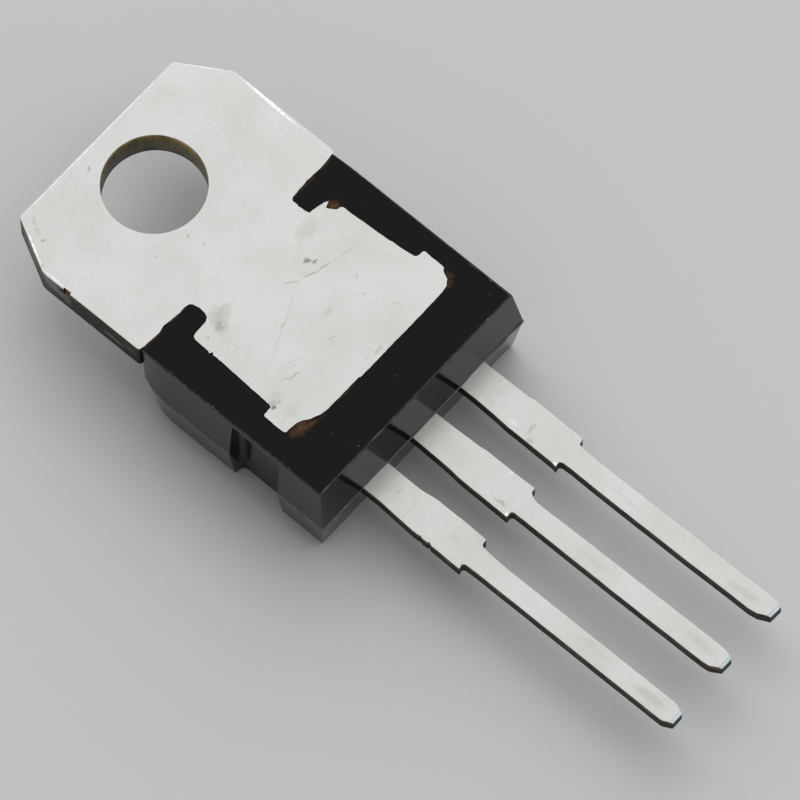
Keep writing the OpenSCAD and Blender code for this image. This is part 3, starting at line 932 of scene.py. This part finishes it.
def lead_lines(metal):
    """The back and front lines of the outside run of a lead, from its root to its raised tip."""
    low, high = box_mm("input_lead")
    back = low.z + metal.lead_gauge
    lines = [(high.y, back), (low.y + metal.lead_run, back), (low.y, high.z)]
    return lines, [(y, z - metal.lead_gauge) for y, z in lines]


def lead_body(edge, metal, inner, back, front):
    """A lead from its outline. inner is the outline of its hidden end, from right to left."""
    bm = flat_outline(edge + inner, LEAD_CUTS, metal.ragged * LEAD_RAGGED)
    bent_sheet(bm, back, front)
    cut_end = min(v.co.y for v in bm.verts) + TIP_REACH
    above = front[-1][1] + metal.lead_gauge / 2
    round_edges(
        bm, metal.tip_round, lambda e: all(v.co.y < cut_end and v.co.z > above for v in e.verts),
        segments=1,
    )
    root = edge[0][1] + metal.lead_gauge
    round_edges(bm, metal.edge_round, lambda e: all(v.co.y < root for v in e.verts))
    return bm


def outer_lead(name, metal):
    """One outer lead, with the bond post inside the moulding."""
    low, high = box_mm(name)
    edge = LEAD_EDGES[name]
    foot = edge[0][1] + POST_FOOT
    left, right = low.x, low.x + metal.post_width
    if high.x > 0:
        left, right = high.x - metal.post_width, high.x
    inner = [
        (edge[-1][0], foot), (right, foot), (right, high.y), (left, high.y), (left, foot),
        (edge[0][0], foot),
    ]
    return lead_body(edge, metal, inner, *lead_lines(metal))


def centre_lead(metal):
    """The centre lead with the sloping strip that joins it to the pad's front half."""
    back, front = lead_lines(metal)
    lead_back = back[0][1]
    strip_front = -metal.tab_gauge + STRIP_INSET
    strip_back = -metal.tab_gauge + metal.lead_gauge
    bend = metal.lead_gauge * math.tan(STRIP_SLOPE / 2)
    slope_top = PAD_END - bend
    slope_low = slope_top - (strip_back - lead_back) / math.tan(STRIP_SLOPE)
    inside = PAD_END + STRIP_IN_PAD
    back = [(inside, strip_back), (slope_top, strip_back), (slope_low, lead_back)] + back[1:]
    front = [
        (inside, strip_front), (slope_top + bend, strip_front),
        (slope_low + bend, lead_back - metal.lead_gauge),
    ] + front[1:]
    half = metal.strip_width / 2
    edge = LEAD_EDGES["centre"]
    wide_end = slope_low - STRIP_PAST_SLOPE
    inner = [
        (edge[-1][0], wide_end), (half, wide_end), (half, inside), (-half, inside),
        (-half, wide_end), (edge[0][0], wide_end),
    ]
    return lead_body(edge, metal, inner, back, front)


def chip_cutter():
    """The cutter of the chip in the tab's left edge: a wedge, leaning in towards the back face."""
    cutter = block((LEFT_EDGE - BEYOND, 0, -CHIP_DEPTH), (LEFT_EDGE, 1, CHIP_DEPTH))
    for vert in cutter.verts:
        # The wedge goes on above the back face as far as it goes below.
        above = vert.co.z > 0
        ends = [2 * b - f if above else f for b, f in zip(CHIP_AT_BACK, CHIP_AT_FOOT)]
        vert.co.y = ends[round(vert.co.y)]
        if above and vert.co.x > LEFT_EDGE - CLOSE:
            vert.co.x += 2 * CHIP_WIDTH
    return cutter


def spreader(metal):
    """The tab, neck and pad in one plate, with the coined lip, the groove and the centre lead."""
    front = -metal.tab_gauge
    plate = level_sheet(flat_outline(TAB_EDGE + PAD_EDGE, ragged=metal.ragged), 0, front)
    # The tab's clean edge is rounded, but not where it is ragged at the resin.
    resin = max(y for _, y in PAD_EDGE) + 2 * metal.ragged
    round_edges(
        plate, metal.edge_round, lambda e: is_level(e) and all(v.co.y > resin for v in e.verts)
    )
    plate = combine(plate, chip_cutter(), "DIFFERENCE")
    hole = drum(metal.hole_width / 2, front - BEYOND, BEYOND)
    plate = combine(plate, hole, "DIFFERENCE")
    rim = metal.hole_width / 2 + HOLE_RIM
    round_edges(plate, metal.hole_relief, lambda e: all(v.co.xy.length < rim for v in e.verts))
    lip_edge = LIP_HALF + [(-x, y) for x, y in reversed(LIP_HALF)]
    lip = level_sheet(flat_outline(lip_edge), -metal.lip_depth, front + LIP_INSET)
    plate = combine(plate, lip, "UNION")
    half = metal.groove_depth * math.sqrt(2) / 2
    groove = block((-GROOVE_REACH, -half, -half), (GROOVE_REACH, half, half))
    turn = Matrix.Rotation(math.radians(45), 4, "X")
    bmesh.ops.transform(
        groove, matrix=Matrix.Translation((0, GROOVE_PLACE, front)) @ turn, verts=groove.verts
    )
    plate = combine(plate, groove, "DIFFERENCE")
    return combine(plate, centre_lead(metal), "UNION")


def flash_at(x, y, shape):
    """How far the flash stands out at a place on the parting line. It wanders and never ends."""
    broad = noise.noise(Vector((x, y, 3)) * 1.1)
    fine = noise.noise(Vector((x, y, 7)) * 6)
    return shape.flash * max(0.15, 0.5 + 1.3 * broad) + 0.008 * fine


def burr_at(x, shape):
    """How far the burr at the lead end's right corner adds to the flash."""
    return shape.burr * max(0, 0.5 + noise.noise(Vector((x, 2, 5)) * 2.5))


def moulded_block(shape):
    """The drafted outside of the moulding, with its cheeks and the flash of its parting line."""
    low, high = box_mm("body")
    half = high.x - shape.side_draft
    end = low.y + shape.end_draft
    top, deep = high.y, low.z
    parting = -shape.parting_depth
    cheek_r = (shape.cheek_length**2 + shape.cheek_depth**2) / (2 * shape.cheek_depth)
    cheek_angle = math.asin(shape.cheek_length / cheek_r)
    cheek_start = top - shape.cheek_length
    bm = block((-half, end, deep), (half, top, 0))
    for z in (parting, parting - SEAM, parting + SEAM, deep + shape.front_bevel):
        slice_across(bm, (0, 0, z), (0, 0, 1))
    for i in range(CHEEK_STEPS):
        y = cheek_start + cheek_r * math.sin(cheek_angle * i / CHEEK_STEPS)
        slice_across(bm, (0, y, 0), (0, 1, 0))
    # The thin band at the parting line is cut fine, so that its flash can wander.
    for axis, reach in ((0, half), (1, (top - end) / 2)):
        count = int(reach / FLASH_CUTS)
        for i in range(-count, count + 1):
            place, normal = [0, 0, 0], [0, 0, 0]
            place[axis] = i * reach / (count + 0.5) + (0 if axis == 0 else (top + end) / 2)
            normal[axis] = 1
            band = [
                f for f in bm.faces
                if all(abs(v.co.z - parting) < SEAM + CLOSE / 2 for v in f.verts)
            ]
            parts = band + [e for f in band for e in f.edges] + [v for f in band for v in f.verts]
            slice_across(bm, place, normal, list(set(parts)))
    for vert in bm.verts:
        x, y, z = vert.co
        at_side, at_end, at_top = abs(x) > half - CLOSE, y < end + CLOSE, y > top - CLOSE
        proud = min(z / parting, (z - deep) / (parting - deep))
        bevel = shape.front_bevel if z < deep + CLOSE else 0
        under_tab = max(0, (parting - z) / (parting - deep))
        cheek, pull = 0, 0
        if y > cheek_start:
            share = 1 if z <= parting else CHEEK_AT_BACK + (1 - CHEEK_AT_BACK) * z / parting
            cheek = share * (cheek_r - math.sqrt(cheek_r**2 - (y - cheek_start) ** 2))
            pull = (shape.tab_draft * under_tab + bevel) * (y - cheek_start) / shape.cheek_length
        flash = 0
        if abs(z - parting) < CLOSE and not at_top:
            flash = flash_at(x, y, shape)
            if at_end and BURR_START < x < half - shape.edge_round:
                flash += burr_at(x, shape)
        out = half + shape.side_draft * proud - cheek - bevel + (flash if at_side else 0)
        vert.co.x = x / half * out
        vert.co.y = end - shape.end_draft * proud + bevel - flash if at_end else y - pull
    # The resin has sunk a hair below the metal's back face.
    for vert in bm.verts:
        if vert.co.z > -CLOSE:
            vert.co.z = -shape.sink
    upper = parting + 2 * SEAM
    below_top = top - 10 * CLOSE
    round_edges(
        bm, shape.edge_round, least=25,
        wanted=lambda e: all(v.co.z > upper for v in e.verts)
        and any(v.co.y < below_top for v in e.verts),
    )
    return bm


def side_notch(side, shape):
    """The cutter of one side notch, open to the side and to the front face."""
    low, high = box_mm("body")
    floor = high.x - shape.side_draft - shape.notch_depth
    middle = low.y + shape.end_draft + shape.notch_place
    reach = shape.notch_length / 2
    cutter = block(
        (floor, middle - reach, low.z - BEYOND),
        (high.x + BEYOND, middle + reach, -shape.notch_web),
    )
    round_edges(cutter, NOTCH_ROUND, lambda e: not is_level(e), segments=4)
    if side < 0:
        bmesh.ops.scale(cutter, vec=(-1, 1, 1), verts=cutter.verts)
        bmesh.ops.reverse_faces(cutter, faces=cutter.faces[:])
    return cutter


def moulding(shape, metal):
    """The whole moulding: its block less the notches, the ejector mark and all that it holds."""
    low, high = box_mm("body")
    bm = moulded_block(shape)
    middle = (low.y + shape.end_draft + high.y) / 2
    mark = drum(
        shape.ejector_width / 2, low.z - BEYOND, low.z + shape.ejector_depth, at=(0, middle),
        segments=64,
    )
    cutters = [side_notch(side, shape) for side in (1, -1)] + [mark, spreader(metal)]
    cutters += [outer_lead(name, metal) for name in OUTER_LEADS]
    cutters += [merged_copy(node) for node in ("solder", "die") + WIRES]
    for cutter in cutters:
        bm = combine(bm, cutter, "DIFFERENCE")
    return bm


def resin_face(shape):
    """A chooser of the moulding's material: 0 matte back, 1 polished, 2 scuffed edge, 3 flash."""
    low, high = box_mm("body")
    # The rounded edge lies above this, with a margin.
    back = -(shape.sink + 1.2 * shape.edge_round) * MM
    parting = -shape.parting_depth * MM
    outside = (high.x - shape.side_draft) * MM
    end = (low.y + shape.end_draft) * MM

    def pick(face):
        middle = face.calc_center_median()
        level, leaning = face.normal.z > 0.99, face.normal.z > 0.3
        if level and middle.z > back:
            return 0
        if leaning and middle.z > back:
            return 2
        at_skin = abs(middle.x) > outside or middle.y < end
        return 3 if at_skin and abs(middle.z - parting) < SEAM * MM else 1

    return pick


class REGULATOR_OT_spreader(bpy.types.Operator):
    """Builds the tab, pad and centre lead, the one stamping that carries the chip"""

    bl_idname = "regulator.spreader"
    bl_label = "Tab and centre lead"

    def execute(self, context):
        metal = in_millimetres(context.scene.regulator_metal)
        bore, rim = metal.hole_width / 2 * MM, HOLE_RIM * MM
        finishes = metal_materials(context.scene.regulator_finish, metal)
        piece = finish_piece(
            spreader(metal), "tab_and_centre_lead", finishes, metal_face(metal),
            smooth=lambda face: all(abs(v.co.xy.length - bore) < rim for v in face.verts),
        )
        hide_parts("spreader")
        return {"FINISHED"}


class REGULATOR_OT_outer_leads(bpy.types.Operator):
    """Builds the two outer leads with their bond posts"""

    bl_idname = "regulator.outer_leads"
    bl_label = "Outer leads"

    def execute(self, context):
        metal = in_millimetres(context.scene.regulator_metal)
        finishes = metal_materials(context.scene.regulator_finish, metal)
        for name in OUTER_LEADS:
            piece = finish_piece(
                outer_lead(name, metal), name + "_stamping", finishes[:2], metal_face(metal)
            )
            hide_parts(name)
        return {"FINISHED"}


class REGULATOR_OT_moulding(bpy.types.Operator):
    """Builds the epoxy moulding round the lead frame"""

    bl_idname = "regulator.moulding"
    bl_label = "Moulding"

    def execute(self, context):
        shape = in_millimetres(context.scene.regulator_moulding)
        metal = in_millimetres(context.scene.regulator_metal)
        finish = context.scene.regulator_finish
        piece = finish_piece(
            moulding(shape, metal), "epoxy_moulding",
            [
                ground_epoxy(finish), polished_epoxy(finish),
                scuffed_epoxy(finish, "black_filled_epoxy_scuffed_edge", 0.05, 0.32),
                scuffed_epoxy(finish, "black_filled_epoxy_flash", 0.3, 0.65),
            ],
            resin_face(shape),
        )
        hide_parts("body")
        return {"FINISHED"}


class REGULATOR_OT_chip(bpy.types.Operator):
    """Gives the chip, its solder and its bond wires, all inside the moulding, their finishes"""

    bl_idname = "regulator.chip"
    bl_label = "Chip and wires"

    def execute(self, context):
        wire = plain_metal("drawn_aluminium_wire", "DEDFE1", 0.3, 0.05)
        solder = plain_metal("reflowed_lead_tin_solder", "A6A7AA", 0.35, 0.15)
        finishes = {"solder": solder, "die": silicon()} | dict.fromkeys(WIRES, wire)
        for node, material in finishes.items():
            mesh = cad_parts[node].data
            for index in range(max(1, len(mesh.materials))):
                if len(mesh.materials) <= index:
                    mesh.materials.append(material)
                mesh.materials[index] = material
        return {"FINISHED"}


class REGULATOR_OT_stage(bpy.types.Operator):
    """Makes the floor, the soft lamps, the even room light and the camera"""

    bl_idname = "regulator.stage"
    bl_label = "Stage"

    def execute(self, context):
        scene = context.scene
        stage = scene.regulator_stage
        self.make_floor(scene, stage)
        self.make_lamps(scene, stage)
        self.make_camera(scene, stage)
        scene.view_settings.view_transform = "Standard"
        return {"FINISHED"}

    def make_floor(self, scene, stage):
        bm = bmesh.new()
        bmesh.ops.create_grid(
            bm, x_segments=1, y_segments=1, size=stage.floor_size / 2,
            matrix=Matrix.Translation((0, 0, cad_box[0].z)),
        )
        floor = as_object(bm, "floor", [pale_floor(scene.regulator_finish)])

    def make_lamps(self, scene, stage):
        middle = (cad_box[0] + cad_box[1]) / 2
        # Each lamp's name, direction from the part, width and height in metres, watts and tint.
        lamps = (
            ("overhead_softbox", (0.3, 0.0, 0.95), (0.9, 0.5), stage.key_power, (1, 1, 1)),
            ("back_lamp", (0.6, 0.72, 0.38), (0.9, 0.9), stage.back_power, (0.94, 0.97, 1)),
            ("front_strip", (0.3, -0.92, 0.27), (0.3, 0.2), stage.front_power, (0.62, 0.82, 1)),
        )
        for name, direction, size, watts, tint in lamps:
            lamp = bpy.data.lights.new(name, "AREA")
            lamp.shape = "RECTANGLE"
            lamp.size, lamp.size_y = size
            lamp.energy = watts
            lamp.color = tint
            obj = bpy.data.objects.new(name, lamp)
            towards = Vector(direction).normalized()
            obj.location = middle + towards * stage.lamp_distance
            obj.rotation_euler = towards.to_track_quat("Z", "Y").to_euler()
            scene.collection.objects.link(obj)
        world = bpy.data.worlds.new("even_room_light")
        world.use_nodes = True
        world.node_tree.nodes.clear()
        add = partial(add_node, world.node_tree)
        glow = add("Background", {"Color": (1, 1, 1, 1), "Strength": stage.room_light})
        add("OutputWorld", {"Surface": glow})
        scene.world = world

    def make_camera(self, scene, stage):
        level = Vector((math.sin(stage.azimuth), -math.cos(stage.azimuth), 0))
        back = level * math.cos(stage.elevation) + UP * math.sin(stage.elevation)
        right = (-back).cross(UP).normalized()
        upward = back.cross(right)
        turned_right = right * math.cos(stage.roll) + upward * math.sin(stage.roll)
        turned_up = upward * math.cos(stage.roll) - right * math.sin(stage.roll)
        data = bpy.data.cameras.new("camera")
        data.lens = stage.lens
        data.sensor_width = 36
        data.clip_start = 0.01
        data.dof.use_dof = False
        camera = bpy.data.objects.new("camera", data)
        axes = Matrix((turned_right, turned_up, back)).transposed().to_4x4()
        place = Vector(stage.target) + back * stage.distance
        camera.matrix_world = Matrix.Translation(place) @ axes
        scene.collection.objects.link(camera)
        scene.camera = camera


OPERATORS = (
    REGULATOR_OT_spreader,
    REGULATOR_OT_outer_leads,
    REGULATOR_OT_moulding,
    REGULATOR_OT_chip,
    REGULATOR_OT_stage,
)


class VIEW3D_PT_regulator(bpy.types.Panel):
    """Lists the regulator's pieces and their settings"""

    bl_label = "Regulator"
    bl_idname = "VIEW3D_PT_regulator"
    bl_space_type = "VIEW_3D"
    bl_region_type = "UI"
    bl_category = "Regulator"

    def draw(self, context):
        for operator in OPERATORS:
            self.layout.operator(operator.bl_idname)
        for name, group in SETTINGS.items():
            box = self.layout.box()
            box.label(text=group.__doc__)
            for key in group.__annotations__:
                box.prop(getattr(context.scene, name), key)


def register():
    for name, group in SETTINGS.items():
        bpy.utils.register_class(group)
        setattr(bpy.types.Scene, name, bpy.props.PointerProperty(type=group))
    for cls in OPERATORS + (VIEW3D_PT_regulator,):
        bpy.utils.register_class(cls)


def unregister():
    for cls in reversed(OPERATORS + (VIEW3D_PT_regulator,)):
        bpy.utils.unregister_class(cls)
    for name, group in reversed(SETTINGS.items()):
        delattr(bpy.types.Scene, name)
        bpy.utils.unregister_class(group)


def main():
    register()
    for operator in OPERATORS:
        group, name = operator.bl_idname.split(".")
        getattr(getattr(bpy.ops, group), name)()


if __name__ == "__main__":
    main()
